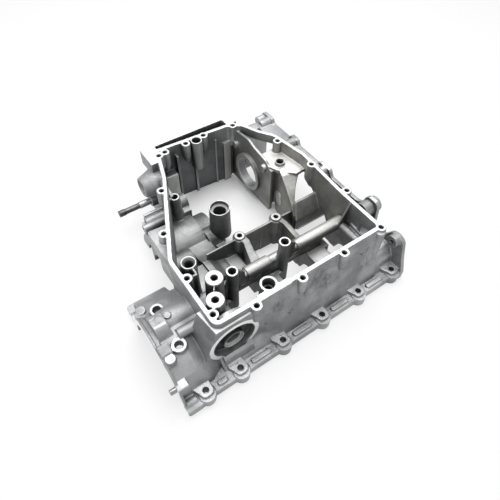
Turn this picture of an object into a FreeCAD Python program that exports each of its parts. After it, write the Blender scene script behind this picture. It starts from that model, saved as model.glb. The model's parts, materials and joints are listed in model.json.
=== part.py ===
import FreeCAD, Part
import math
import os

# Lower half of a multi-cylinder engine crankcase, shown upside down: it lies
# on its split face (z = 0) and the oil pan face looks up.
# X runs along the crank axis, Y from the front to the gearbox at the rear.

V = FreeCAD.Vector

# Overall sizes
Z_PAN = 118.0
X_LEFT = -233.0
X_RIGHT = 162.0
Y_FRONT = -12.0
Y_REAR = 366.0
WALL = 6.5
SPLIT_T = 14.0
PAD_Z = 22.0
OVER = 2.0

# Crank line and main bearings
CRANK_Y = 75.0
THROW_PITCH = 91.0
BEARING_X0 = -129.0
BEARING_N = 4
BEARING_R = 21.0
WEB_W = 32.0
WEB_TOP = 47.0
RIB_TOP = 58.0
CROSS_WALL_Y = 164.5

# Gearbox
SHAFT_Y = 248.0
SHAFT_BORE_R = 26.0
BARREL_R = 38.0
BRACKET_X = 70.0
BRACKET_T = 5.0
DRUM_Y = 289.0
DRUM_Z = 48.0
DRUM_R = 27.5
DRUM_RING_T = 7.5

# Alternator end: places on the vault are given as an angle about the crank
# line and a distance from the vault's skin
ALT_R = 75.5
ALT_WALL = 12.0
ALT_LIP_R = 79.0
ALT_LIP_T = 3.5
ALT_STRIP_R = 77.5
ALT_STRIP_T = 9.0
CONE_X = -198.0
CONE_END_X = -162.0
CONE_DROP = 17.5
CREST_Y = 62.0
# rim screws: (angle, from skin, boss radius, boss length)
ALT_SCREWS = [
    (8.9, 2.4, 10, 13), (47.7, 0.3, 9, 13), (118.7, -4.8, 8, 14), (173.9, -0.1, 8.5, 19),
]
SCREW_R = 3.3
# upright bolt bosses: (x, y, top below the crest, radius, hole depth, hole radius)
ALT_POSTS = [(-204.1, 114.2, 4.5, 10, 80, 5.6), (-204.8, 50.8, 0.5, 10.5, 84, 5.6)]
# dowel: (angle, from skin)
DOWEL_AT = (144.6, -1.3)
DOWEL_R = 4.0
DOWEL_DEPTH = 10.0
DOWEL_OUT = 9.0

# Shift shaft
SHIFT_Y = 325.0
SHIFT_Z = 45.0
SHIFT_R = 6.0
SHIFT_NECK_R = 4.9
SHIFT_TIP_R = 5.6
SHIFT_TIP_LENGTH = 11.0
SHIFT_PLAY = 0.15
SHIFT_TIP_X = -169.0
SHIFT_STEP_X = -132.0
SHIFT_END_X = -80.0

# Oil filter seat on the front wall
FILTER_X = -140.2
FILTER_Y = 20.0
FILTER_Z = 65.1
FILTER_R = 38.7
FILTER_GROOVE_R = 31.6
FILTER_BOSS_R = 16.3

# Oil pan face
PAN_HOLE_R = 3.3
MOUTH = 1.0
PAN_BOSS_R = 7.6
PAN_RIM = [
    (-165, 25, 12), (-165, 143, 20), (-97, 288, 30), (-75, 355, 6), (58, 347, 8),
    (83, 333, 10), (97, 303, 20), (114, 278, 20), (125, 212, 30), (118.5, 110, 60),
    (118.5, 25, 8),
]
PAN_BOLTS = [
    (-76.5, 338.5), (-64.2, 340.9), (-25.1, 341.1), (10.3, 343.5), (67.0, 339.0),
    (107.0, 262.2), (117.2, 185.2), (124.5, 109.2), (115.1, 27.2), (40.7, 22.6),
    (-32.1, 22.6), (-105.6, 22.3), (-157.0, 42.3), (-157.0, 105.9), (-146.7, 188.9),
    (-110.1, 265.2),
]
REAR_OIL_HOLE = (-6.3, 338.5, 7.4, 9.8)
FRONT_MAIN_HOLE = (-74.3, 40.1, 8.5, 12.2)

# Split face bolts along the front
FRONT_BOLT_PITCH = 72.5
FRONT_BOLT_X = [-200.0] + [FRONT_BOLT_PITCH * i for i in range(-2, 3)]


def box(x0, x1, y0, y1, z0, z1):
    return Part.makeBox(x1 - x0, y1 - y0, z1 - z0, V(x0, y0, z0))


def cyl_x(x0, x1, y, z, r):
    return Part.makeCylinder(r, x1 - x0, V(x0, y, z), V(1, 0, 0))


def cyl_y(y0, y1, x, z, r):
    return Part.makeCylinder(r, y1 - y0, V(x, y0, z), V(0, 1, 0))


def cyl_z(z0, z1, x, y, r):
    return Part.makeCylinder(r, z1 - z0, V(x, y, z0), V(0, 0, 1))


def cone_z(z0, z1, x, y, r0, r1):
    return Part.makeCone(r0, r1, z1 - z0, V(x, y, z0), V(0, 0, 1))


def rounded(points):
    # closed outline through (x, y) or (x, y, corner radius) points
    edges = []
    n = len(points)
    corners = []
    for i in range(n):
        p = V(points[i][0], points[i][1], 0)
        a = V(points[i - 1][0], points[i - 1][1], 0)
        b = V(points[(i + 1) % n][0], points[(i + 1) % n][1], 0)
        r = points[i][2] if len(points[i]) > 2 else 0
        if r <= 0:
            corners.append((p, p, p))
            continue
        u = (a - p).normalize()
        w = (b - p).normalize()
        half = u.getAngle(w) / 2
        if math.cos(half) < 0.01:
            corners.append((p, p, p))
            continue
        reach = min(r / math.tan(half), (a - p).Length * 0.48, (b - p).Length * 0.48)
        r = reach * math.tan(half)
        middle = (u + w).normalize()
        centre = p + middle * (r / math.sin(half))
        corners.append((p + u * reach, centre - middle * r, p + w * reach))
    for i in range(n):
        first, mid, last = corners[i]
        if (first - last).Length > 1e-6:
            edges.append(Part.Arc(first, mid, last).toShape())
        following = corners[(i + 1) % n][0]
        if (following - last).Length > 1e-6:
            edges.append(Part.LineSegment(last, following).toShape())
    return Part.Wire(edges)


def prism_z(points, z0, z1):
    face = Part.Face(rounded(points))
    face.translate(V(0, 0, z0))
    return face.extrude(V(0, 0, z1 - z0))


def prism_x(points, x0, x1):
    # points are (y, z) with an optional corner radius
    face = Part.Face(rounded(points))
    face.rotate(V(0, 0, 0), V(0, 0, 1), 90)
    face.rotate(V(0, 0, 0), V(0, 1, 0), 90)
    face.translate(V(x0, 0, 0))
    return face.extrude(V(x1 - x0, 0, 0))


def end_wire(points, x):
    # outline of (y, z) points standing across the crank line
    wire = rounded(points)
    wire.rotate(V(0, 0, 0), V(0, 0, 1), 90)
    wire.rotate(V(0, 0, 0), V(0, 1, 0), 90)
    wire.translate(V(x, 0, 0))
    return wire


def end_wire_y(points, y):
    # outline of (x, z) points standing along the crank line
    wire = rounded(points)
    wire.rotate(V(0, 0, 0), V(1, 0, 0), 90)
    wire.translate(V(0, y, 0))
    return wire


def prism_y(points, y0, y1):
    # points are (x, z) with an optional corner radius
    face = Part.Face(rounded(points))
    face.rotate(V(0, 0, 0), V(1, 0, 0), 90)
    face.translate(V(0, y0, 0))
    return face.extrude(V(0, y1 - y0, 0))


def inset(points, d):
    # same outline moved inwards by d
    wire = rounded(points)
    face = Part.Face(wire)
    return face.makeOffset2D(-d, 0, False, False, True)


def bearing_x(i):
    return BEARING_X0 + THROW_PITCH * i


def round_crank(angle, from_skin):
    # (y, z) of a place on the alternator vault
    r = ALT_R + from_skin
    a = math.radians(angle)
    return CRANK_Y + r * math.cos(a), r * math.sin(a)


def inside_limits(shape):
    limits = box(X_LEFT, X_RIGHT + 18, Y_FRONT - 8, Y_REAR + 14, 0, Z_PAN)
    return shape.common(limits)


def fuse_all(shapes):
    return shapes[0].multiFuse(shapes[1:]) if len(shapes) > 1 else shapes[0]


# Outer skin

PAN_INNER = inset(PAN_RIM, WALL)

SPLIT_OUTLINE = [
    (X_LEFT, Y_FRONT, 3), (X_LEFT, 178, 6), (-166, 178, 8), (-152, 200, 20),
    (-142, 292, 14), (-100, 300, 8), (-98, Y_REAR, 4), (X_RIGHT, 372, 4),
    (X_RIGHT, -13, 6), (150, -12, 4), (138, -8, 6), (-190, -8, 6), (-212, Y_FRONT, 4),
]


def split_flange():
    plate = prism_z(SPLIT_OUTLINE, 0, SPLIT_T)
    opening = prism_z([
        (-150, 17, 8), (-150, 150, 8), (-132, 180, 10), (-60, 300, 10), (-72, 345, 6),
        (70, 345, 6), (92, 364, 6), (153, 364, 6), (153, 0, 6), (130, 17, 8),
    ], -OVER, SPLIT_T + OVER)
    return plate.cut(opening)


def pan_walls():
    # the front wall stands upright by the filter and leans further right
    outer = prism_z(PAN_RIM, 0, Z_PAN)
    leaning = [(7, 0), (7, 13), (13, 34, 40), (20, 72, 60), (24, 108), (38, 108), (38, 0)]
    upright = [(7, 0), (7, 13), (21.5, 32, 14), (22.8, 72, 60), (24, 108), (44, 108), (44, 0)]
    x_turn = -96
    x_lean = -66
    turn = Part.makeLoft([end_wire(upright, x_turn), end_wire(leaning, x_lean)], True, True)
    by_filter = prism_x(upright, -164, x_turn)
    return fuse_all([outer, prism_x(leaning, x_lean, 117), turn, by_filter])


def alternator_housing():
    x0 = X_LEFT
    behind = box(x0 - 1, -100, CREST_Y, 220, 0, 200)
    vault = cyl_x(x0, -150, CRANK_Y, 0, ALT_R).common(behind)
    # the front quarter narrows towards the filter and has a steep foot
    narrow = ALT_R - CONE_DROP
    cone = Part.makeCone(ALT_R, narrow, CONE_END_X - CONE_X, V(CONE_X, CRANK_Y, 0), V(1, 0, 0))
    tapered = fuse_all([
        cyl_x(x0, CONE_X, CRANK_Y, 0, ALT_R), cone,
        cyl_x(CONE_END_X, -150, CRANK_Y, 0, narrow),
    ])
    ahead = prism_x([
        (8.5, 0), (8.5, 15), (10, 24, 10), (19, 51), (0, 120), (CREST_Y + 1, 120),
        (CREST_Y + 1, 0),
    ], x0, -150)
    lip = cyl_x(x0, x0 + ALT_LIP_T, CRANK_Y, 0, ALT_LIP_R)
    lip = lip.common(box(x0, -100, -60, 220, 0, 200))
    strip = cyl_x(x0, x0 + ALT_STRIP_T, CRANK_Y, 0, ALT_STRIP_R).common(behind)
    return fuse_all([vault, tapered.common(ahead), lip, strip])


def alternator_bosses():
    x0 = X_LEFT
    parts = []
    for angle, from_skin, r, length in ALT_SCREWS:
        y, z = round_crank(angle, from_skin)
        parts.append(cyl_x(x0, x0 + length, y, z, r))
    # bulge over the starter idler gear, stepping down to a ridge
    y, z = round_crank(76.9, -13.9)
    crown = cyl_x(x0 + 10, x0 + 29, y, z, 27)
    parts.append(crown.common(box(x0, -150, CREST_Y, y + 14, 0, 200)))
    parts.append(cyl_x(x0 + 25, -158, y + 4, z, 22))
    parts.append(cyl_x(x0 + 34, -160, CREST_Y + 2, ALT_R - 1.5, 7.5))
    # shoulder that runs back from the vault to the split flange
    parts.append(prism_x([
        (95, 30), (100, 71, 8), (128, 59, 25), (170, 26, 8), (173, 10), (120, 10),
    ], x0 + 12, -160))
    # small upright pads and bosses
    parts.append(cyl_z(60, ALT_R + 12, x0 + 22, 91, 4.5))
    parts.append(cyl_z(60, ALT_R + 8.5, x0 + 34.6, 92, 5))
    parts.append(cyl_z(30, ALT_R - 10.5, x0 + 11, 129, 6.8))
    parts.append(cyl_z(50, ALT_R - 0.5, x0 + 10.2, 40.5, 7.2))
    parts.append(prism_x([(46, 60), (46, 76.5, 2), (61, 80.5, 2), (61, 60)], x0 + 2, x0 + 17))
    # block that carries the dowel
    y, z = round_crank(*DOWEL_AT)
    half = DOWEL_R + 4
    parts.append(prism_x([
        (y - half, z - 14), (y - half, z + half, 2), (y + half, z + half, 2), (y + half, z - 14),
    ], x0, x0 + DOWEL_DEPTH + 5.5))
    parts.append(box(x0, x0 + 19, -8, 6, 0, 12))
    for x, y, below, r, depth, hole in ALT_POSTS:
        parts.append(cone_z(20, ALT_R - below, x, y, r + 2, r))
    return parts


def sprocket_side():
    top = [(-161, 130), (-162, 150, 10), (-161, 218, 4), (-132, 216, 4), (-120, 190), (-150, 130)]
    parts = [
        prism_z(top, 0, 101),
        cyl_x(-151, -100, 269, 50, 6.5),
        cyl_x(-140, -95, 284, 44, 9),
        box(-146, -100, 283, 289, 20, 44),
        box(-138, -100, 292, 297, 10, 52),
        prism_z([(-140, 214, 4), (-138, 300, 8), (-90, 320), (-90, 214)], 0, 34),
    ]
    # shift shaft boss and the large bored boss
    parts.append(Part.makeCone(16.5, 24, 22, V(-120, 328, 77), V(1, 0, 0)))
    parts.append(cyl_x(-98.5, -70, 328, 77, 24))
    parts.append(cyl_x(-112, -70, SHIFT_Y, SHIFT_Z, 11))
    parts.append(prism_z([(-100, 296, 4), (-100, 360, 4), (-70, 360), (-70, 296)], 0, 60))
    return parts


def rear_blocks():
    return [
        box(-97, -72, 324, Y_REAR, 92, Z_PAN), box(-86, -66, 330, Y_REAR, 0, 94),
        box(59, 79, 345, Y_REAR, 0, Z_PAN),
        box(-80, 62, 362, Y_REAR, 0, Z_PAN), box(-80, 62, 350, Y_REAR, 0, 46),
    ]


CLUTCH_RIM = [
    (-13, 0), (-13, 16, 5), (-4, 42, 20), (6, 77, 12), (28, 80, 12), (42, 58, 12),
    (64, 60, 10), (68, 103, 10), (92, 103, 10), (100, 78, 16), (172, 78, 8),
    (178, 90, 6), (202, 90, 6), (210, 83, 8), (262, 83, 6), (266, 94, 6),
    (284, 94, 6), (290, 84, 6), (338, 84, 6), (342, 93, 6), (372, 93, 8), (372, 0),
]


# screws of the clutch cover: (y, z)
CLUTCH_SCREWS = [(274, 86), (350, 82), (190, 80), (19, 70)]
# bored boss on the clutch end: place, radii, how far it reaches in and out of the cover face
END_BOSS_Y = 84.0
END_BOSS_Z = 84.0
END_BOSS_R = 13.0
END_BORE_R = 6.5
END_BOSS_IN = 22.0
END_BOSS_OUT = 10.0


def clutch_side():
    lip = prism_x(CLUTCH_RIM, X_RIGHT - 7, X_RIGHT)
    rear_roof = prism_x([
        (168, 0), (172, 72, 8), (180, 84, 10), (366, 84, 10), (366, 0),
    ], 100, X_RIGHT - 3)
    front_roof = prism_x([
        (9, 0), (9, 14), (22, 52, 14), (176, 56), (176, 0),
    ], 108, X_RIGHT - 3)
    bosses = [
        cyl_x(X_RIGHT - END_BOSS_IN, X_RIGHT + END_BOSS_OUT, END_BOSS_Y, END_BOSS_Z, END_BOSS_R),
        cyl_x(X_RIGHT - 26, X_RIGHT, 274, 86, 8.5), cyl_x(X_RIGHT - 28, X_RIGHT, 350, 82, 10),
        cyl_x(X_RIGHT - 22, X_RIGHT, 366, 80, 8), cyl_x(X_RIGHT - 16, X_RIGHT, 190, 80, 10),
        cyl_x(X_RIGHT - 16, X_RIGHT, 19, 70, 10),
    ]
    return [lip, rear_roof, front_roof] + bosses


def front_bolt_bosses():
    bosses = []
    for x in FRONT_BOLT_X:
        outline = [
            (x - 16, 12, 3), (x + 10, 12, 4), (x + 10, -9, 9), (x - 7, -9, 7), (x - 10, 0, 6),
        ]
        bosses.append(prism_z(outline, 0, PAD_Z))
        bosses.append(cyl_z(0, PAD_Z - 6, x, -3, 12))
    for i in range(len(FRONT_BOLT_X) - 1):
        a = FRONT_BOLT_X[i] + 19
        b = FRONT_BOLT_X[i + 1] - 22
        bosses.append(prism_z([(a, -4, 3), (a, 3, 3), (b, 3, 3), (b, -4, 3)], 0, SPLIT_T + 4))
    return bosses


def filter_seat():
    seat = cyl_y(FILTER_Y, 62, FILTER_X, FILTER_Z, FILTER_R)
    # the casting spreads out behind the seat towards the vault
    ahead = end_wire_y([
        (-184.5, 45), (-173, 74), (-166, 108), (-104, 108), (-89, 77), (-104, 60), (-140, 40),
    ], FILTER_Y + 1)
    behind = end_wire_y([
        (-191, 42), (-181, 76), (-171, 108), (-104, 108), (-89, 77), (-104, 60), (-140, 40),
    ], 60)
    return [seat, Part.makeLoft([ahead, behind], True, True)]


def pan_bosses():
    parts = []
    for x, y in PAN_BOLTS:
        parts.append(cyl_z(Z_PAN - 24, Z_PAN, x, y, PAN_BOSS_R))
        parts.append(cone_z(Z_PAN - 36, Z_PAN - 24, x, y, 4.5, PAN_BOSS_R))
    x, y, r, boss = REAR_OIL_HOLE
    parts.append(cyl_z(60, Z_PAN, x, y, boss))
    x, y, r, boss = FRONT_MAIN_HOLE
    parts.append(cyl_z(50, Z_PAN, x, y, boss))
    parts.append(box(x - 24, x + 26, 24, 34, 90, Z_PAN))
    parts.append(cyl_z(0, Z_PAN - 4, 112, 24, 8))
    return parts


# Inside members

def filter_backing():
    return [
        cyl_y(FILTER_Y + 2, FILTER_Y + 24, FILTER_X, FILTER_Z, FILTER_R - 1),
        box(-160, -106, 24, 50, 0, WEB_TOP),
    ]


def bearing_blocks():
    parts = []
    for i in range(BEARING_N):
        x = bearing_x(i)
        a = x - WEB_W / 2
        b = min(x + WEB_W / 2, X_RIGHT - 4)
        if i == 0:
            a = -160
        profile = [(10, 0), (14, 36, 6), (26, WEB_TOP, 8), (118, WEB_TOP, 8), (124, 0)]
        parts.append(prism_x(profile, a, b))
        # upright bolt pillar on the side of the web
        parts.append(box(b - 6, b + 9, 80, 97, 0, WEB_TOP))
    # wide left block reaches back to the cross wall
    parts.append(box(-160, -104, 110, CROSS_WALL_Y, 0, 40))
    parts.append(box(-106, -44, 118, CROSS_WALL_Y, 0, 26))
    # ramp that rises from the left web to the gear shaft barrel
    parts.append(prism_y([
        (-104.5, 0), (-104.5, 45), (-94, 43), (-80, 31, 20), (-62, 26, 20), (-54, 0),
    ], 128, CROSS_WALL_Y))
    parts.append(prism_x([(163.5, 0), (163.5, 43), (182, 33, 30), (214, 31), (222, 0)], -104.5, -68))
    # ribs from the two middle webs back to the posts of the cross wall
    y = CROSS_WALL_Y
    parts.append(prism_z([
        (-50, 104), (-35, 104), (-31, 133), (-26, 152), (-27, y), (-39, y), (-37, 152),
        (-50, 112),
    ], 0, RIB_TOP))
    parts.append(prism_z([
        (35.5, 104), (45, 104), (46, 148), (44, y), (33, y), (38, 150),
    ], 0, RIB_TOP))
    return parts


def cross_wall():
    y = CROSS_WALL_Y
    parts = [
        box(-96, -36, y - 1.5, y + 1.5, 0, RIB_TOP), box(-36, 84, y - 2, y + 2, 0, RIB_TOP - 1),
        box(-62, -46, y - 3, y + 9, 0, 30), box(4, 26, y - 3, y + 6, 0, RIB_TOP - 8),
        box(84, 150, 160, 179, 0, 20),
    ]
    # stepped collars of the two posts in the wall
    for x, y, top, r_top, foot, r_foot, hole, depth in POSTS[5:7]:
        parts.append(cyl_z(30, top - 4, x, y, r_foot + 1))
    # sloping saddle between the bracket and the clutch side wall
    saddle = prism_x([
        (146, 27), (146, 49, 3), (163, 72), (167, 72), (168, 62), (155, 43), (153, 27),
    ], BRACKET_X - 6, 131)
    end = prism_y([(64, 20), (64, 49), (75, 73), (75, 80), (131, 80), (131, 20)], 140, 175)
    parts.append(saddle.common(end))
    return parts


# Upright posts: (x, y, top, top radius, foot z, foot radius, hole radius, hole depth)
POSTS = [
    (-142.8, 126.8, 117.5, 10.9, 36, 13, 6.2, 40), (-127.4, 87.2, 117.5, 12.4, 40, 14, 4.6, 124),
    (-143.6, 58.5, 117.5, 12.4, 40, 14, 4.6, 124), (-99.1, 88.2, 108, 8.6, 0, 9.6, 5.7, 112),
    (-9.6, 88.8, 108, 8.6, 0, 9.6, 5.7, 112), (-35, 166, 60.5, 8.6, 0, 10, 3.7, 70),
    (36, 166, 60.5, 8.6, 0, 10, 3.7, 70), (-41.4, 212.5, 86, 16.5, 28, 18, 10, 36),
    (-90, 269, 90, 8.4, 0, 14, 5.2, 40), (90.5, 232, 103, 8, 12, 10, 6.2, 30),
]


def posts():
    parts = []
    for x, y, top, r_top, foot, r_foot, hole, depth in POSTS:
        parts.append(cone_z(foot, top, x, y, r_foot, r_top))
    # thin ribs that tie the tall posts to each other and to the wall
    parts.append(prism_z([(-147, 60), (-145, 60), (-126, 86), (-128, 86)], 60, 116.5))
    parts.append(box(-158, -142, 104, 107, 60, 116.5))
    parts.append(prism_z([(-144, 108), (-141, 108), (-141, 126), (-144, 126)], 60, 116.5))
    # gussets that carry the two posts by the oil gallery
    for x, y, top, r_top, foot, r_foot, hole, depth in POSTS[3:5]:
        side = [(x, top - 2), (x + 7, top - 3), (x + 21, 91), (x + 21, 66), (x, 50)]
        parts.append(prism_y(side, y - 1, y + 3))
        parts.append(prism_y([(x, 98), (x - 6, 92), (x - 18, 64), (x - 18, 30), (x, 30)], y - 2, y + 3))
    return parts


def oil_gallery():
    y = 95.0
    z = 70.0
    parts = [
        cyl_x(-100, 116, y, z, 8.0), cyl_x(-72, -32, y, z, 10.4), cyl_x(18, 110, y, z, 10.4),
        cyl_y(28, y, 104, z, 6.8),
        box(-95, -33, 86, 89, 50, RIB_TOP + 2), box(1, 50, 86, 89, 50, RIB_TOP + 2),
        prism_y([(92, z), (114, z), (114, 116), (111, 116)], 85.5, 88.5),
        prism_z([(107, 42), (109, 42), (112, 76), (110, 76)], 60, 82),
    ]
    # feet under the tube
    for i in (1, 2):
        x = bearing_x(i)
        parts.append(box(x - 12, x + 14, y - 8, y + 8, 40, z))
    return parts


def gear_shaft_housing():
    half = box(-170, 0, 150, 340, 0, 120)
    parts = [
        cyl_x(-150, -70, SHAFT_Y - 6, 0, BARREL_R + 8), cyl_x(-70, -46, SHAFT_Y - 6, 0, BARREL_R),
        cyl_x(-158, -108, 190, 30, 17), cyl_x(-70, -46, 216, 10, 26),
        box(-160, -104, 160, 210, 0, 22), cyl_x(-70, -42, 216, 20, 20),
        cyl_x(-100, -64, 287, 52, 14), box(-100, -66, 262, 300, 0, 52),
        box(-62, -46, 164, 212, 0, 24),
    ]
    fused = fuse_all(parts).common(half)
    gusset = prism_x([(262, 30), (262, 88), (300, 112), (306, 30)], -96, -91)
    return [fused, gusset]


def bracket_web():
    # slanted upright web between the post by the bracket and the saddle
    plan = prism_z([
        (62.5, 152), (70, 152), (92, 222), (98, 236), (86, 240), (82, 226),
    ], 0, Z_PAN)
    side = prism_x([
        (180, 0), (172, 27), (152, 31), (152, 55), (163, 70, 3), (210, 94.5, 6), (222, 98, 6),
        (239, 80), (239, 0),
    ], 55, 110)
    return plan.common(side)


def bracket_slope():
    # sloped web that runs from the roof by the bracket down to the saddle
    plan = prism_z([
        (66, 160), (75, 168), (91, 187), (109, 203), (109, 226), (85, 226),
    ], 40, Z_PAN)
    side = prism_x([
        (160, 64), (160, 69), (210, 95.5, 4), (226, 95.5), (226, 90), (212, 90, 4),
    ], 70, 116)
    return plan.common(side)


def clutch_bracket():
    x = BRACKET_X
    web = prism_x([
        (234, 0), (234, 94, 8), (246, 103, 8), (281, 107.5, 20), (296, 113, 10), (320, 110, 8),
        (348, 104), (348, 0),
    ], x, x + BRACKET_T)
    parts = [
        web,
        cyl_x(x - 7, x + BRACKET_T + 4, DRUM_Y, DRUM_Z, DRUM_R + DRUM_RING_T),
        cyl_x(x - 6, x + BRACKET_T + 3, 246, 88, 7), cyl_x(x - 6, x + BRACKET_T + 3, 330, 82, 7),
        prism_z([
            (x + 2, 268, 3), (117, 272), (119, 200), (100, 198, 4), (90, 208, 4), (78, 222, 4),
            (x + 2, 236),
        ], 90, 96),
        bracket_web(),
        bracket_slope(),
        Part.makeCylinder(13.5, 8, V(84, 209.8, 40.4), V(-0.967, 0.255, 0)),
        box(x, 88, 228, 240, 0, 92),
    ]
    return parts


def rear_wall_ribs():
    parts = [box(-46, -42, 338, 348, 0, 100), box(-12, -8, 340, 348, 0, 92)]
    parts.append(box(30, 34, 340, 348, 0, 100))
    parts.append(box(46, 60, 336, 348, 0, 88))
    parts.append(box(-72, -50, 332, 348, 0, 70))
    return parts


# Hollows and holes

def front_scoop():
    # shallow oval dent in the front wall, and a round one near its right end
    radius = 24.0
    depth = 2.4
    low = V(-9, 21.2 - radius + depth, 80)
    high = V(17, 22.6 - radius + depth, 94)
    rod = Part.makeCylinder(radius, (high - low).Length, low, high - low)
    dent = fuse_all([rod, Part.makeSphere(radius, low), Part.makeSphere(radius, high)])
    return [dent, cyl_y(10, 24, 87, 89, 9.5).cut(cyl_y(10, 24, 85, 91, 6.5))]


def hollow_spaces():
    cuts = front_scoop()
    # alternator chamber and the crank line
    cuts.append(cyl_x(X_LEFT - OVER, CONE_X, CRANK_Y, 0, ALT_R - ALT_WALL))
    narrow = ALT_R - ALT_WALL - CONE_DROP + 4
    cuts.append(Part.makeCone(ALT_R - ALT_WALL, narrow, 31, V(CONE_X, CRANK_Y, 0), V(1, 0, 0)))
    cuts.append(cyl_x(-168, X_RIGHT + OVER, CRANK_Y, 0, BEARING_R))
    for i in range(BEARING_N):
        x = bearing_x(i)
        if i in (1, 2):
            cuts.append(box(x - 11, x + 11, 20, 42, -OVER, 30))
            cuts.append(box(x - 11, x + 11, 108, 118, -OVER, 30))
    cuts.append(box(-152, -110, 116, 158, -OVER, 34))
    cuts.append(box(-100, -50, 130, 158, -OVER, 20))
    cuts.append(box(48, 84, 124, 158, -OVER, 28))
    # gear shaft bores
    cuts.append(cyl_x(-160, -40, SHAFT_Y - 6, 0, SHAFT_BORE_R))
    cuts.append(cyl_x(-170, -152, 180, 40, 32))
    cuts.append(cyl_x(-170, -152, 200, 0, 40))
    cuts.append(cyl_x(BRACKET_X - 12, BRACKET_X + 16, DRUM_Y, DRUM_Z, DRUM_R))
    cuts.append(cyl_x(78, 128, SHAFT_Y - 6, 0, 20))
    return cuts


def clutch_space():
    rear = prism_x([
        (178, -OVER), (178, 66, 8), (186, 78, 8), (360, 78, 8), (360, -OVER),
    ], 118, X_RIGHT + OVER)
    front = prism_x([
        (16, -OVER), (16, 14), (28, 46, 10), (182, 50), (182, -OVER),
    ], 132, X_RIGHT + OVER)
    return [rear, front]


def holes():
    cuts = []
    for x in FRONT_BOLT_X:
        cuts.append(cyl_z(-OVER, PAD_Z + OVER, x, 0, 4.2))
    for x, y in PAN_BOLTS:
        cuts.append(cyl_z(Z_PAN - 20, Z_PAN + OVER, x, y, PAN_HOLE_R))
        cuts.append(cone_z(Z_PAN - MOUTH, Z_PAN + MOUTH, x, y, PAN_HOLE_R, PAN_HOLE_R + 2 * MOUTH))
    x, y, r, boss = REAR_OIL_HOLE
    cuts.append(cyl_z(66, Z_PAN + OVER, x, y, r))
    x, y, r, boss = FRONT_MAIN_HOLE
    cuts.append(cyl_z(Z_PAN - 16, Z_PAN + OVER, x, y, r))
    cuts.append(cyl_z(56, Z_PAN, x, y, 6.0))
    for x, y, top, r_top, foot, r_foot, hole, depth in POSTS:
        cuts.append(cyl_z(top - depth, top + OVER, x, y, hole))
    for x, y, below, r, depth, hole in ALT_POSTS:
        top = ALT_R - below
        cuts.append(cyl_z(top - depth, top + OVER, x, y, hole))
    # seats in the mouths of two posts
    x, y, top = POSTS[0][:3]
    cuts.append(cone_z(top - 8, top + 1, x, y, 5, 9.5))
    x, y, top = POSTS[7][:3]
    cuts.append(cyl_z(top - 7, top + OVER, x, y, 14.6))
    # filter seat: groove round the threaded spigot and its bore
    groove = cyl_y(FILTER_Y - OVER, FILTER_Y + 11, FILTER_X, FILTER_Z, FILTER_GROOVE_R)
    spigot = cyl_y(FILTER_Y + 1, FILTER_Y + 12, FILTER_X, FILTER_Z, FILTER_BOSS_R)
    cuts.append(groove.cut(spigot))
    cuts.append(cyl_y(FILTER_Y - OVER, FILTER_Y + 34, FILTER_X, FILTER_Z, 10.5))
    cuts.append(cyl_y(FILTER_Y - OVER, FILTER_Y + 4, FILTER_X, FILTER_Z, 13.5))
    # bores of the outer bosses
    cuts.append(cyl_x(-122, -100, 328, 77, 10.0))
    cuts.append(cyl_x(-124, -117, 328, 77, 13))
    cuts.append(cyl_x(-153, -118, 269, 50, 4))
    mouth = X_RIGHT + END_BOSS_OUT
    cuts.append(cyl_x(X_RIGHT - 12, mouth + OVER, END_BOSS_Y, END_BOSS_Z, END_BORE_R))
    for angle, from_skin, r, length in ALT_SCREWS:
        y, z = round_crank(angle, from_skin)
        cuts.append(cyl_x(X_LEFT - OVER, X_LEFT + length - 3, y, z, SCREW_R))
    for y, z in CLUTCH_SCREWS:
        cuts.append(cyl_x(X_RIGHT - 16, X_RIGHT + OVER, y, z, SCREW_R))
    return cuts


def crankcase():
    outside = [split_flange(), pan_walls(), alternator_housing()]
    outside += alternator_bosses() + sprocket_side() + rear_blocks() + clutch_side()
    outside += front_bolt_bosses() + filter_seat()
    body = inside_limits(fuse_all(outside))
    # clear the pan space and the crank space
    pan_space = PAN_INNER.copy()
    pan_space.translate(V(0, 0, -OVER))
    pan_space = pan_space.extrude(V(0, 0, Z_PAN + 2 * OVER))
    crank_space = prism_x([
        (14, -OVER), (14, 12), (20, 34, 30), (29, 96), (60, 96), (60, -OVER),
    ], -84, 126)
    spaces = fuse_all([pan_space, crank_space] + clutch_space())
    body = body.cut(spaces)
    # the wall by the clutch is open under the pan rim
    window = prism_x([
        (165, -OVER), (165, 61, 3), (168, 68, 3), (176, 73, 6), (184, 71.5, 6), (197, 77, 8),
        (199, 92, 3), (290, 90), (342, 74), (342, -OVER),
    ], 60, 134)
    tall = box(64, 128, 262, 343, 70, 101)
    low = prism_x([
        (127, -OVER), (127, 38, 5), (134, 48, 4), (166, 48), (166, -OVER),
    ], 110, 134)
    body = body.cut(fuse_all([window, tall, low]))
    inside = bearing_blocks() + cross_wall() + posts() + oil_gallery()
    inside += filter_backing() + gear_shaft_housing() + clutch_bracket() + rear_wall_ribs()
    body = fuse_all([body] + inside)
    body = fuse_all([body] + pan_bosses())
    body = inside_limits(body)
    body = body.cut(fuse_all(hollow_spaces()))
    body = body.cut(holes())
    return body


def shift_shaft():
    # thick root in the case, a thinner neck outside and a collar for the lever
    y = SHIFT_Y
    z = SHIFT_Z
    return fuse_all([
        cyl_x(SHIFT_TIP_X, SHIFT_TIP_X + SHIFT_TIP_LENGTH, y, z, SHIFT_TIP_R),
        cyl_x(SHIFT_TIP_X, SHIFT_STEP_X, y, z, SHIFT_NECK_R),
        cyl_x(SHIFT_STEP_X, SHIFT_END_X, y, z, SHIFT_R),
    ])


def dowel_pin():
    y, z = round_crank(*DOWEL_AT)
    pin = cyl_x(X_LEFT - DOWEL_OUT, X_LEFT + DOWEL_DEPTH, y, z, DOWEL_R)
    ends = [e for e in pin.Edges if e.Curve.TypeId == "Part::GeomCircle"]
    return pin.makeChamfer(DOWEL_R / 5, ends)


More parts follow.
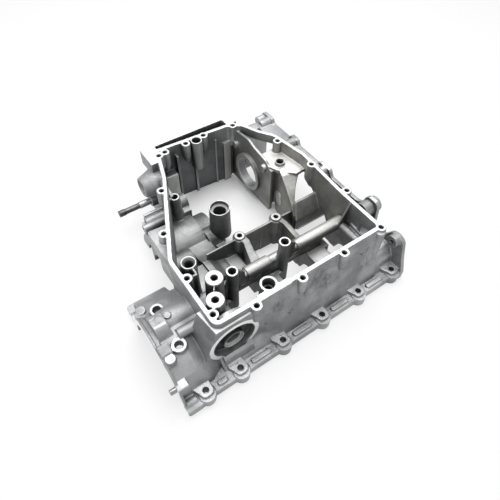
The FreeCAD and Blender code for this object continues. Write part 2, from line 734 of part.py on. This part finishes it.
def main():
    os.makedirs("parts", exist_ok=True)
    shaft = shift_shaft()
    pin = dowel_pin()
    case = crankcase()
    shaft_bore = cyl_x(SHIFT_TIP_X, SHIFT_END_X, SHIFT_Y, SHIFT_Z, SHIFT_R + SHIFT_PLAY)
    y, z = round_crank(*DOWEL_AT)
    dowel_hole = cyl_x(X_LEFT - OVER, X_LEFT + DOWEL_DEPTH, y, z, DOWEL_R)
    case = case.cut(fuse_all([shaft_bore, dowel_hole]))
    pieces = {
        "crankcase_lower": case, "shift_shaft": shaft, "dowel_pin": pin,
    }
    for name, shape in pieces.items():
        print(name, shape.ShapeType, len(shape.Solids), shape.isValid(), len(shape.Faces))
        if len(shape.Solids) == 1:
            shape = shape.Solids[0]
        shape.exportStep("parts/" + name + ".step")


main()
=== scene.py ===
import bpy
import json
import math
from mathutils import Matrix, Vector

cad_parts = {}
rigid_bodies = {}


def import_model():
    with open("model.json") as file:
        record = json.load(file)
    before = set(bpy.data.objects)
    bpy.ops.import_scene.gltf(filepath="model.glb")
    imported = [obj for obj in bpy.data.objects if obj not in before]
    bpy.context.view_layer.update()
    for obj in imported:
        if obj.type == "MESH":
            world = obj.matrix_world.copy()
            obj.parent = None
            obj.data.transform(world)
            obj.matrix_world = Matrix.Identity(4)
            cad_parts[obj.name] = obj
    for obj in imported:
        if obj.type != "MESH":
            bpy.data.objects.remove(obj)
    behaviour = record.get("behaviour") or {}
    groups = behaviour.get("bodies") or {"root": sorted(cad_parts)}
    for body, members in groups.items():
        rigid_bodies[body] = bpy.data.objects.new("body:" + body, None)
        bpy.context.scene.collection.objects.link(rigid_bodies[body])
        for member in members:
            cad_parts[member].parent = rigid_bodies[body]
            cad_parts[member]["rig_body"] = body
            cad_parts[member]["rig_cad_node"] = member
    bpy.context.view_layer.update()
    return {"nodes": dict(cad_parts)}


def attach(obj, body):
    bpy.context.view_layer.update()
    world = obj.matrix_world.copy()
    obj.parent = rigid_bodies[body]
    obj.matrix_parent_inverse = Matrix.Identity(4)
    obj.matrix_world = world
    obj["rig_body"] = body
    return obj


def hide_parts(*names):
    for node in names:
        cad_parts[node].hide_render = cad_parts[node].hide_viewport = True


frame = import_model()

# Lengths are in millimetres and angles in degrees, apart from the studio's and the camera's
# places, which are in metres. A share goes from 0 to 1.
MM = 0.001
# Stands for no limit along an axis
ENDLESS = 10000

# How fine the skin of the casting is, how many faces it keeps, and from what angle an edge is
# sharp
SKIN_GRAIN = 0.8
SKIN_FACES = 190000
SKIN_EDGE = 40
STEEL_EDGE = 35

# Faces that a cutter has been over. First the level ones: height, brightness
CUT_LEVELS = [
    (118, 1.0), (117.5, 0.95), (108, 0.95), (103, 0.8), (90, 0.7), (86, 0.75), (60.5, 0.5),
    (22, 0.12), (98, 0.8),
]
# Upright ones: axis, place, the way that they face, brightness, and the middle and reach if
# only a part of that plane was cut
CUT_SIDES = [
    (0, -233, -1, 0.9, None), (0, 162, 1, 0.8, None),
    (1, 20, -1, 0.95, ((-140.2, 0, 65.1), (42, ENDLESS, 42))),
]
# Round spots on the crank housing and the flange: x, y, height, radius, brightness
CUT_SPOTS = [
    (-204.1, 114.2, 71.0, 10.6, 0.95), (-204.8, 50.8, 75.0, 11.1, 0.95),
    (-222.8, 40.5, 75.0, 7.8, 0.8),
]
# How near to its plane a cut face lies, and how squarely it faces the plane's way
CUT_BAND = 0.45
SPOT_BAND = 0.9
SQUARE_ON = (0.93, 0.985)

# How deep the grain of a surface is
CAST_BUMP = 0.35
STEEL_BUMP = 0.1

# Colours of the casting
SKIN_DARK = (0.23, 0.235, 0.24, 1)
SKIN_LIGHT = (0.42, 0.425, 0.43, 1)
CUT_DARK = (0.66, 0.665, 0.67, 1)
CUT_LIGHT = (0.76, 0.765, 0.77, 1)
# Upright cut faces are painted lighter than level ones: a painted highlight
CUT_UPRIGHT_HIGHLIGHT = (0.93, 0.93, 0.93, 1)
# Painted highlight on convex edges and on lit places inside
PAINTED_HIGHLIGHT = (0.7, 0.695, 0.67, 1)
STAIN = (0.08, 0.08, 0.08, 1)
PIT = (0.05, 0.05, 0.05, 1)
# Darker bottom of the groove round the filter spigot
GROOVE_DARK_COLOUR = (0.03, 0.03, 0.03, 1)
# Painted shade on the inner rear wall
REAR_SHADE_COLOUR = (0.05, 0.052, 0.055, 1)
# Painted shade on the crank housing
HOUSING_SHADE_COLOUR = (0.05, 0.055, 0.06, 1)
# Painted shade: a darker cast of the skin inside the case
INSIDE_SHADE_TINT = (0.7, 0.7, 0.69, 1)
# Slightly warm cast of the skin round the bracket and the oil gallery
WARM_TINT = (1.0, 0.98, 0.92, 1)

# Shade of the hollows: how far around a place it looks, its darkest share, and how much of
# it a level face is spared
HOLLOW_REACH = 110
HOLLOW_DARKEST = 0.26
LEVEL_LIFT = 0.55
# Places where the skin changes, middle and reach along each axis: painted shade on the inner
# rear wall, inside the case and on the crank housing, and a warm tint round the bracket
REAR_WALL = ((-12, 344, 50), (78, 12, 78))
INSIDE = ((-18, 190, 50), (118, 150, 66))
WARM_PART = ((62, 190, 80), (105, 150, 80))
HOUSING_SHADE = ((-181, 80, 62), (20, 48, 28))
# Painted light inside: tops and sides painted lighter where light falls, each with its share.
# Only tops of the first, any side of the others
PAINTED_LIGHT_TOPS = [
    ((95, 238, 96), (38, 46, 4), 0.8), ((66, 95, 80), (54, 9, 9), 0.6),
    ((-42, 95, 78), (66, 8, 9), 0.45),
]
PAINTED_LIGHT_SIDES = [((76, 212, 40.4), (8, 15, 15), 0.35), ((63, 289, 48), (3, 36, 36), 0.3)]
# Groove round the filter spigot: middle, inner and outer radius, from where to where it is
# darker
GROOVE_MIDDLE = (-140.2, 0, 65.1)
GROOVE_RADII = (15, 31.3)
GROOVE_DEPTHS = (20.8, 60)
# Dark stains on the front wall: x, height, half width, half height
STAINS = [
    (-2, 92, 20, 28), (-24, 76, 9, 16), (-70, 84, 14, 20), (-92, 50, 10, 20), (16, 68, 24, 26),
    (96, 55, 34, 28),
]
# Small pits in the front wall: x, height, radius
PITS = [(-34, 68, 1.5), (-52, 54, 2.2), (-47, 56, 1.6), (-50, 50, 1.3), (76, 30, 1.5)]
FRONT_WALL_Y = 20

# Shaft: its axis, where its toothed tip fades and its sleeve starts, how many teeth it has
ROD_Y = 325
ROD_Z = 45
ROD_TIP_X = (-158.5, -157.5)
ROD_SLEEVE_X = (-132.5, -131.5)
ROD_TEETH = 22.0
ROD_DARK = (0.07, 0.07, 0.075, 1)
ROD_LIGHT = (0.2, 0.2, 0.21, 1)
TOOTH_DARK = (0.02, 0.02, 0.022, 1)
TOOTH_LIGHT = (0.16, 0.16, 0.17, 1)
SLEEVE = (0.45, 0.45, 0.46, 1)
# Dowel
PIN_DARK = (0.2, 0.2, 0.21, 1)
PIN_LIGHT = (0.38, 0.38, 0.39, 1)

# Studio: how light the world is, how white it is seen, and the lamps
WORLD_LIGHT = 0.27
WORLD_SEEN = (0.97, 0.97, 0.97, 1)
WHITE = (1, 1, 1, 1)
FLOOR_COLOUR = (0.92, 0.92, 0.92, 1)
FLOOR_Z = -0.0002
FLOOR_SIZE = 12
# Where the floor isn't lifted to white, inside the gearbox bay: middle and reach in
# millimetres. Then the lift outside it
BAY = ((15, 262, 0), (95, 95, 9))
FLOOR_LIFT = 0.7
# Name, azimuth, elevation, distance, size, power
LAMPS = [("top_softbox", 135, 74, 1.7, 1.5, 33), ("left_softbox", -100, 50, 1.7, 0.9, 6)]
LIT_MIDDLE = (-0.03, 0.18, 0.05)

# Camera of the photograph: place, turn, tilt up from straight down, roll, lens
CAMERA_PLACE = (-0.27174, -0.18886, 0.58321)
CAMERA_TURN = -36.0065
CAMERA_TILT = 90 - 52.7243
CAMERA_ROLL = 1.5715
CAMERA_LENS = 31.044


def only(obj):
    """Selects one object and nothing else."""
    bpy.ops.object.select_all(action="DESELECT")
    obj.select_set(True)
    bpy.context.view_layer.objects.active = obj


def apply_all(obj):
    """Applies each modifier of an object in turn."""
    only(obj)
    for modifier in list(obj.modifiers):
        bpy.ops.object.modifier_apply(modifier=modifier.name)


def copy_of_node(node_name, name):
    """A free copy of a solid, its loose faces joined into one mesh."""
    node = frame["nodes"][node_name]
    piece = node.copy()
    piece.data = node.data.copy()
    piece.name = name
    piece.data.name = name
    piece.parent = None
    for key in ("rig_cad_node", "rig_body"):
        if key in piece:
            del piece[key]
    bpy.context.scene.collection.objects.link(piece)
    only(piece)
    bpy.ops.object.mode_set(mode="EDIT")
    bpy.ops.mesh.select_all(action="SELECT")
    bpy.ops.mesh.remove_doubles(threshold=0.002 * MM)
    bpy.ops.object.mode_set(mode="OBJECT")
    return piece


def finish_piece(piece, material, slot, *nodes):
    """Gives a piece its material and its place in the part."""
    piece.data.materials.clear()
    piece.data.materials.append(material)
    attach(piece, "root")
    if nodes:
        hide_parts(*nodes)


# Shader helpers

def socket_of(tree, value, target):
    """Joins a node's output to an input, or writes a plain value in it."""
    if isinstance(value, bpy.types.NodeSocket):
        tree.links.new(value, target)
    else:
        target.default_value = value


def parts_of(tree, vector):
    """The three parts of a vector."""
    node = tree.nodes.new("ShaderNodeSeparateXYZ")
    tree.links.new(vector, node.inputs[0])
    return node.outputs


def facing_parts(tree):
    """The way that a place faces, in three parts."""
    return parts_of(tree, tree.nodes.new("ShaderNodeNewGeometry").outputs["Normal"])


def math_node(tree, operation, a, b=None, c=None, clamp=False):
    """A sum of one to three values or outputs."""
    node = tree.nodes.new("ShaderNodeMath")
    node.operation = operation
    node.use_clamp = clamp
    for value, target in zip((a, b, c), node.inputs):
        if value is not None:
            socket_of(tree, value, target)
    return node.outputs[0]


def noise(tree, vector, scale, detail, roughness):
    """Soft noise from 0 to 1, with about as many waves to a metre as its scale."""
    node = tree.nodes.new("ShaderNodeTexNoise")
    socket_of(tree, vector, node.inputs["Vector"])
    node.inputs["Scale"].default_value = scale
    node.inputs["Detail"].default_value = detail
    node.inputs["Roughness"].default_value = roughness
    return node.outputs[0]


def ramp(tree, value, low, high, to_low=0.0, to_high=1.0):
    """Leads a value softly over from one number at its low end to another at its high end."""
    node = tree.nodes.new("ShaderNodeMapRange")
    node.interpolation_type = "SMOOTHSTEP"
    socket_of(tree, value, node.inputs["Value"])
    for name, number in (
        ("From Min", low), ("From Max", high), ("To Min", to_low), ("To Max", to_high),
    ):
        node.inputs[name].default_value = number
    return node.outputs[0]


def mix_colour(tree, factor, a, b, blend="MIX"):
    """The first colour, blended with the second by a share."""
    node = tree.nodes.new("ShaderNodeMix")
    node.data_type = "RGBA"
    node.blend_type = blend
    socket_of(tree, factor, node.inputs[0])
    socket_of(tree, a, node.inputs[6])
    socket_of(tree, b, node.inputs[7])
    return node.outputs[2]


def scaled_distance(tree, point, middle, reach):
    """How far a point is from a middle, where 1 is the reach along each axis."""
    vector = point
    for operation, lengths in (("SUBTRACT", middle), ("DIVIDE", reach)):
        node = tree.nodes.new("ShaderNodeVectorMath")
        node.operation = operation
        tree.links.new(vector, node.inputs[0])
        node.inputs[1].default_value = [v * MM for v in lengths]
        vector = node.outputs[0]
    length = tree.nodes.new("ShaderNodeVectorMath")
    length.operation = "LENGTH"
    tree.links.new(vector, length.inputs[0])
    return length.outputs["Value"]


def near_place(tree, point, place, inner, outer, share=1.0):
    """A share up to the inner reach of a place, which fades to nothing at the outer one."""
    return ramp(tree, scaled_distance(tree, point, *place), inner, outer, share, 0.0)


def largest(tree, values):
    """The largest of some values."""
    total = values[0]
    for value in values[1:]:
        total = math_node(tree, "MAXIMUM", total, value)
    return total


def product(tree, values):
    """Some values multiplied."""
    total = values[0]
    for value in values[1:]:
        total = math_node(tree, "MULTIPLY", total, value)
    return total


def new_group(name, outputs):
    """A node group that takes a point and gives values: the group, the point, its outputs."""
    group = bpy.data.node_groups.new(name, "ShaderNodeTree")
    group.interface.new_socket(name="Point", in_out="INPUT", socket_type="NodeSocketVector")
    for label in outputs:
        group.interface.new_socket(name=label, in_out="OUTPUT", socket_type="NodeSocketFloat")
    given = group.nodes.new("NodeGroupInput").outputs["Point"]
    return group, given, group.nodes.new("NodeGroupOutput").inputs


def use_group(tree, group, point):
    """A use of a node group in a material, as its outputs."""
    node = tree.nodes.new("ShaderNodeGroup")
    node.node_tree = group
    tree.links.new(point, node.inputs["Point"])
    return node.outputs


def cut_faces_group():
    """Where a cutter has been: level tops at known heights and the cover faces."""
    group, point, out = new_group("cut_faces", ["Mask"])
    place = parts_of(group, point)
    facing = facing_parts(group)
    tops = []
    for height, share in CUT_LEVELS:
        near = math_node(group, "COMPARE", place[2], height * MM, CUT_BAND * MM)
        tops.append(math_node(group, "MULTIPLY", near, share))
    for x, y, height, radius, share in CUT_SPOTS:
        away = scaled_distance(group, point, (x, y, height), (radius, radius, SPOT_BAND))
        near = math_node(group, "LESS_THAN", away, 1.0)
        tops.append(math_node(group, "MULTIPLY", near, share))
    faces = [product(group, [largest(group, tops), ramp(group, facing[2], *SQUARE_ON)])]
    for axis, flat_place, way, share, region in CUT_SIDES:
        near = math_node(group, "COMPARE", place[axis], flat_place * MM, CUT_BAND * MM)
        toward = math_node(group, "MULTIPLY", facing[axis], float(way))
        parts = [near, ramp(group, toward, *SQUARE_ON), share]
        if region:
            away = scaled_distance(group, point, *region)
            parts.append(math_node(group, "LESS_THAN", away, 1.0))
        faces.append(product(group, parts))
    group.links.new(largest(group, faces), out["Mask"])
    return group


def cast_grain_group():
    """Height and tone of a cast skin: fine grain, soft waves and a few pits."""
    group, point, out = new_group("cast_grain", ["Height", "Tone", "Pits"])
    fine = noise(group, point, 900.0, 3.0, 0.6)
    waves = noise(group, point, 70.0, 2.0, 0.5)
    clouds = noise(group, point, 18.0, 4.0, 0.6)
    spots = noise(group, point, 330.0, 1.0, 0.4)
    where = noise(group, point, 26.0, 2.0, 0.5)
    pits = product(group, [ramp(group, spots, 0.70, 0.78), ramp(group, where, 0.55, 0.66)])
    height = math_node(group, "MULTIPLY", fine, 0.35)
    height = math_node(group, "ADD", height, math_node(group, "MULTIPLY", waves, 1.2))
    height = math_node(group, "SUBTRACT", height, math_node(group, "MULTIPLY", pits, 1.5))
    tone = math_node(
        group, "ADD", ramp(group, clouds, 0.3, 0.7, -0.5, 0.5),
        ramp(group, fine, 0.3, 0.7, -0.25, 0.25),
    )
    group.links.new(height, out["Height"])
    group.links.new(tone, out["Tone"])
    group.links.new(pits, out["Pits"])
    return group


def stains_group():
    """Dark smudges that run down the front wall, broken up by noise, and small pits."""
    group, point, out = new_group("stains", ["Mask"])
    drawn = group.nodes.new("ShaderNodeMapping")
    drawn.inputs["Scale"].default_value = (1.0, 1.0, 0.35)
    group.links.new(point, drawn.inputs["Vector"])
    broken = ramp(group, noise(group, drawn.outputs[0], 190.0, 5.0, 0.65), 0.42, 0.62)
    smudges = [
        near_place(group, point, ((x, FRONT_WALL_Y, height), (wide, 10, tall)), 0.15, 1.0)
        for x, height, wide, tall in STAINS
    ]
    pits = [
        near_place(group, point, ((x, FRONT_WALL_Y, height), (radius, 10, radius)), 0.6, 1.2)
        for x, height, radius in PITS
    ]
    smudge = product(group, [largest(group, smudges), broken])
    group.links.new(largest(group, [smudge] + pits), out["Mask"])
    return group


def painted_light_group():
    """Painted light: tops and sides inside that are painted lighter."""
    group, point, out = new_group("light_places", ["Mask"])
    tops = [
        near_place(group, point, (middle, reach), 0.8, 1.1, share)
        for middle, reach, share in PAINTED_LIGHT_TOPS
    ]
    sides = [
        near_place(group, point, (middle, reach), 0.9, 1.05, share)
        for middle, reach, share in PAINTED_LIGHT_SIDES
    ]
    top = product(group, [largest(group, tops), ramp(group, facing_parts(group)[2], 0.4, 0.9)])
    group.links.new(largest(group, [top] + sides), out["Mask"])
    return group


def filter_groove_group():
    """The darker bottom of the groove round the filter spigot."""
    group, point, out = new_group("filter_groove", ["Mask"])
    y = parts_of(group, point)[1]
    inner, outer = GROOVE_RADII
    from_axis = scaled_distance(group, point, GROOVE_MIDDLE, (inner, ENDLESS, inner))
    inside = product(group, [
        math_node(group, "GREATER_THAN", from_axis, 1.0),
        math_node(group, "LESS_THAN", from_axis, outer / inner),
        math_node(group, "GREATER_THAN", y, GROOVE_DEPTHS[0] * MM),
        math_node(group, "LESS_THAN", y, GROOVE_DEPTHS[1] * MM),
    ])
    group.links.new(inside, out["Mask"])
    return group


def new_material(name):
    """A material with its nodes, its shader, and the point on the piece that is shaded."""
    material = bpy.data.materials.new(name)
    material.use_nodes = True
    tree = material.node_tree
    shader = tree.nodes["Principled BSDF"]
    coords = tree.nodes.new("ShaderNodeTexCoord")
    return material, tree, shader, coords.outputs["Object"]


def hollow_shade(tree, level):
    """A grey that is darker in the hollows, and less so on level faces."""
    hollow = tree.nodes.new("ShaderNodeAmbientOcclusion")
    hollow.samples = 8
    hollow.inputs["Distance"].default_value = HOLLOW_REACH * MM
    open_share = ramp(tree, hollow.outputs["AO"], 0.02, 0.62, HOLLOW_DARKEST, 1.0)
    open_share = math_node(tree, "MULTIPLY_ADD", level, LEVEL_LIFT, open_share, clamp=True)
    grey = tree.nodes.new("ShaderNodeCombineColor")
    for channel in grey.inputs:
        tree.links.new(open_share, channel)
    return grey.outputs[0]


def skin_colour(tree, point, grain, level):
    """Colour of the cast skin with its stains and pits, painted shade, painted highlights and a
    darker groove.
    """
    tone = ramp(tree, grain["Tone"], -0.7, 0.7)
    skin = mix_colour(tree, tone, SKIN_DARK, SKIN_LIGHT)
    smudge = use_group(tree, stains_group(), point)["Mask"]
    skin = mix_colour(tree, math_node(tree, "MULTIPLY", smudge, 0.8), skin, STAIN)
    skin = mix_colour(tree, math_node(tree, "MULTIPLY", grain["Pits"], 0.8), skin, PIT)
    skin = mix_colour(tree, 1.0, skin, hollow_shade(tree, level), "MULTIPLY")
    # painted shade on the inner rear wall
    rear = near_place(tree, point, REAR_WALL, 0.8, 1.2, 0.7)
    skin = mix_colour(tree, rear, skin, REAR_SHADE_COLOUR)
    # painted shade inside the case
    inside = near_place(tree, point, INSIDE, 0.85, 1.1)
    skin = mix_colour(tree, inside, skin, INSIDE_SHADE_TINT, "MULTIPLY")
    warm = near_place(tree, point, WARM_PART, 0.6, 1.1)
    skin = mix_colour(tree, warm, skin, WARM_TINT, "MULTIPLY")
    # painted shade on the crank housing
    housing = near_place(tree, point, HOUSING_SHADE, 0.2, 1.0, 0.9)
    skin = mix_colour(tree, housing, skin, HOUSING_SHADE_COLOUR)
    # painted highlight on convex edges, found from the mesh's pointiness
    geometry = tree.nodes.new("ShaderNodeNewGeometry")
    edge = ramp(tree, geometry.outputs["Pointiness"], 0.515, 0.57, 0.0, 0.4)
    # painted light on tops and sides inside
    painted_light = use_group(tree, painted_light_group(), point)["Mask"]
    skin = mix_colour(tree, largest(tree, [edge, painted_light]), skin, PAINTED_HIGHLIGHT)
    # the bottom of the filter groove made darker
    groove_dark = use_group(tree, filter_groove_group(), point)["Mask"]
    return mix_colour(tree, math_node(tree, "MULTIPLY", groove_dark, 0.8), skin, GROOVE_DARK_COLOUR)


def casting_material():
    """Cast aluminium: grey grained skin, and bright faces where a cutter has been."""
    material, tree, shader, point = new_material("cast_aluminium")
    cut = use_group(tree, cut_faces_group(), point)["Mask"]
    grain = use_group(tree, cast_grain_group(), point)
    level = ramp(tree, facing_parts(tree)[2], 0.6, 0.95)
    scratches = ramp(tree, noise(tree, point, 260.0, 2.0, 0.5), 0.3, 0.7)
    bright = mix_colour(tree, scratches, CUT_DARK, CUT_LIGHT)
    # upright cut faces are painted lighter than level ones, as a painted highlight
    bright = mix_colour(tree, level, CUT_UPRIGHT_HIGHLIGHT, bright)
    colour = mix_colour(tree, cut, skin_colour(tree, point, grain, level), bright)
    tree.links.new(colour, shader.inputs["Base Color"])
    rough = ramp(tree, grain["Tone"], -0.7, 0.7, 0.6, 0.5)
    rough = math_node(tree, "SUBTRACT", rough, math_node(tree, "MULTIPLY", cut, 0.12))
    tree.links.new(rough, shader.inputs["Roughness"])
    cut_top = math_node(tree, "MULTIPLY", cut, level)
    tree.links.new(ramp(tree, cut_top, 0.0, 1.0, 0.85, 0.35), shader.inputs["Metallic"])
    bump = tree.nodes.new("ShaderNodeBump")
    bump.inputs["Distance"].default_value = CAST_BUMP * MM
    uncut = math_node(tree, "SUBTRACT", 1.0, math_node(tree, "MULTIPLY", cut, 0.85))
    tree.links.new(product(tree, [grain["Height"], uncut]), bump.inputs["Height"])
    tree.links.new(bump.outputs[0], shader.inputs["Normal"])
    return material


def steel_material(name, dark, light, roughness):
    """Plain steel with fine streaks along X."""
    material, tree, shader, point = new_material(name)
    streaks = tree.nodes.new("ShaderNodeMapping")
    streaks.inputs["Scale"].default_value = (1.0, 6.0, 6.0)
    tree.links.new(point, streaks.inputs["Vector"])
    lines = noise(tree, streaks.outputs[0], 220.0, 4.0, 0.6)
    colour = mix_colour(tree, ramp(tree, lines, 0.3, 0.7), dark, light)
    tree.links.new(colour, shader.inputs["Base Color"])
    rough = ramp(tree, lines, 0.3, 0.7, roughness - 0.06, roughness + 0.08)
    tree.links.new(rough, shader.inputs["Roughness"])
    shader.inputs["Metallic"].default_value = 1.0
    bump = tree.nodes.new("ShaderNodeBump")
    bump.inputs["Distance"].default_value = STEEL_BUMP * MM
    tree.links.new(lines, bump.inputs["Height"])
    tree.links.new(bump.outputs[0], shader.inputs["Normal"])
    return material


def rod_material():
    """Dark splined tip, dark neck and a bright sleeve where the rod enters the case."""
    material = steel_material("rod_steel", ROD_DARK, ROD_LIGHT, 0.38)
    tree = material.node_tree
    shader = tree.nodes["Principled BSDF"]
    coords = next(n for n in tree.nodes if n.bl_idname == "ShaderNodeTexCoord")
    place = parts_of(tree, coords.outputs["Object"])
    colour = shader.inputs["Base Color"].links[0].from_socket
    tip = ramp(tree, place[0], *[x * MM for x in ROD_TIP_X], 1.0, 0.0)
    sleeve = ramp(tree, place[0], *[x * MM for x in ROD_SLEEVE_X])
    angle = math_node(
        tree, "ARCTAN2", math_node(tree, "SUBTRACT", place[1], ROD_Y * MM),
        math_node(tree, "SUBTRACT", place[2], ROD_Z * MM),
    )
    teeth = math_node(tree, "SINE", math_node(tree, "MULTIPLY", angle, ROD_TEETH))
    teeth = product(tree, [ramp(tree, teeth, -0.6, 0.6), tip])
    colour = mix_colour(tree, tip, colour, mix_colour(tree, teeth, TOOTH_DARK, TOOTH_LIGHT))
    colour = mix_colour(tree, sleeve, colour, SLEEVE)
    tree.links.new(colour, shader.inputs["Base Color"])
    return material


# Pieces

def casting(material):
    """The crankcase half with the soft edges and fillets of a casting."""
    skin = copy_of_node("crankcase_lower", "casting_skin")
    remesh = skin.modifiers.new("skin", "REMESH")
    remesh.mode = "VOXEL"
    remesh.voxel_size = SKIN_GRAIN * MM
    smooth = skin.modifiers.new("soften", "SMOOTH")
    smooth.factor = 0.5
    smooth.iterations = 3
    apply_all(skin)
    triangles = sum(len(p.vertices) - 2 for p in skin.data.polygons)
    thin = skin.modifiers.new("thin", "DECIMATE")
    thin.ratio = min(1.0, SKIN_FACES / triangles)
    apply_all(skin)
    only(skin)
    bpy.ops.object.shade_smooth_by_angle(angle=math.radians(SKIN_EDGE))
    finish_piece(skin, material, "cast_aluminium", "crankcase_lower")
    return skin


def steel_copy(node_name, name, material, slot, width):
    """A steel piece with its edges broken by a small bevel, whose width is in millimetres."""
    piece = copy_of_node(node_name, name)
    bevel = piece.modifiers.new("edges", "BEVEL")
    bevel.width = width * MM
    bevel.segments = 2
    bevel.limit_method = "ANGLE"
    apply_all(piece)
    only(piece)
    bpy.ops.object.shade_smooth_by_angle(angle=math.radians(STEEL_EDGE))
    finish_piece(piece, material, slot, node_name)
    return piece


# Floor, light and camera

def seen_rays(tree):
    """1 for what is looked at, straight or in a mirror or a glass, and 0 for light."""
    rays = tree.nodes.new("ShaderNodeLightPath")
    seen = math_node(tree, "ADD", rays.outputs["Is Camera Ray"], rays.outputs["Is Glossy Ray"])
    return math_node(tree, "ADD", seen, rays.outputs["Is Transmission Ray"], clamp=True)


def studio():
    """Pale floor and sky, and the soft lamps."""
    bpy.ops.object.select_all(action="DESELECT")
    bpy.ops.mesh.primitive_plane_add(size=FLOOR_SIZE, location=(0, 0, FLOOR_Z))
    floor = bpy.context.object
    floor.name = "studio_floor"
    floor.data.materials.append(floor_material())
    world = bpy.data.worlds.new("studio")
    world.use_nodes = True
    tree = world.node_tree
    light = tree.nodes["Background"]
    light.inputs["Color"].default_value = WHITE
    light.inputs["Strength"].default_value = WORLD_LIGHT
    seen = tree.nodes.new("ShaderNodeBackground")
    seen.inputs["Color"].default_value = WORLD_SEEN
    mixed = mix_shaders(tree, seen_rays(tree), light.outputs[0], seen.outputs[0])
    tree.links.new(mixed, tree.nodes["World Output"].inputs["Surface"])
    bpy.context.scene.world = world
    for settings in LAMPS:
        lamp(*settings)


def mix_shaders(tree, share, first, second):
    """Two shaders blended by a share."""
    node = tree.nodes.new("ShaderNodeMixShader")
    for value, target in zip((share, first, second), node.inputs):
        tree.links.new(value, target)
    return node.outputs[0]


def floor_material():
    """A pale floor. What is seen of it is lifted to white, except inside the gearbox bay."""
    material, tree, shader, point = new_material("floor_white")
    shader.inputs["Base Color"].default_value = FLOOR_COLOUR
    shader.inputs["Roughness"].default_value = 0.9
    glow = tree.nodes.new("ShaderNodeEmission")
    glow.inputs["Color"].default_value = WHITE
    lift = ramp(tree, scaled_distance(tree, point, *BAY), 0.8, 1.3, 0.0, FLOOR_LIFT)
    share = math_node(tree, "MULTIPLY", seen_rays(tree), lift)
    top = mix_shaders(tree, share, shader.outputs[0], glow.outputs[0])
    # from below the floor is clear, so the split face can be looked at
    clear = tree.nodes.new("ShaderNodeBsdfTransparent").outputs[0]
    below = tree.nodes.new("ShaderNodeNewGeometry").outputs["Backfacing"]
    both = mix_shaders(tree, below, top, clear)
    tree.links.new(both, tree.nodes["Material Output"].inputs["Surface"])
    return material


def lamp(name, azimuth, elevation, distance, size, power):
    """A square soft lamp that looks at the middle of the case."""
    a = math.radians(azimuth)
    e = math.radians(elevation)
    way = Vector((math.sin(a) * math.cos(e), -math.cos(a) * math.cos(e), math.sin(e)))
    light = bpy.data.lights.new(name, "AREA")
    light.size = size
    light.energy = power
    holder = bpy.data.objects.new(name, light)
    holder.location = Vector(LIT_MIDDLE) + way * distance
    holder.rotation_mode = "QUATERNION"
    holder.rotation_quaternion = way.to_track_quat("Z", "Y")
    bpy.context.scene.collection.objects.link(holder)


def camera():
    """The camera of the photograph."""
    data = bpy.data.cameras.new("photo_view")
    data.sensor_width = 36.0
    data.lens = CAMERA_LENS
    data.clip_start = 0.01
    data.clip_end = 50
    holder = bpy.data.objects.new("photo_view", data)
    turn = Matrix.Rotation(math.radians(CAMERA_TURN), 4, "Z")
    tilt = Matrix.Rotation(math.radians(CAMERA_TILT), 4, "X")
    roll = Matrix.Rotation(math.radians(CAMERA_ROLL), 4, "Z")
    holder.matrix_world = Matrix.Translation(CAMERA_PLACE) @ turn @ tilt @ roll
    bpy.context.scene.collection.objects.link(holder)
    bpy.context.scene.camera = holder
    bpy.context.scene.view_settings.view_transform = "Standard"


camera()
studio()
casting(casting_material())
steel_copy("shift_shaft", "shift_shaft_rod", rod_material(), "dark_steel", 0.5)
steel_copy(
    "dowel_pin", "dowel", steel_material("pin_steel", PIN_DARK, PIN_LIGHT, 0.25),
    "bright_steel", 0.3,
)
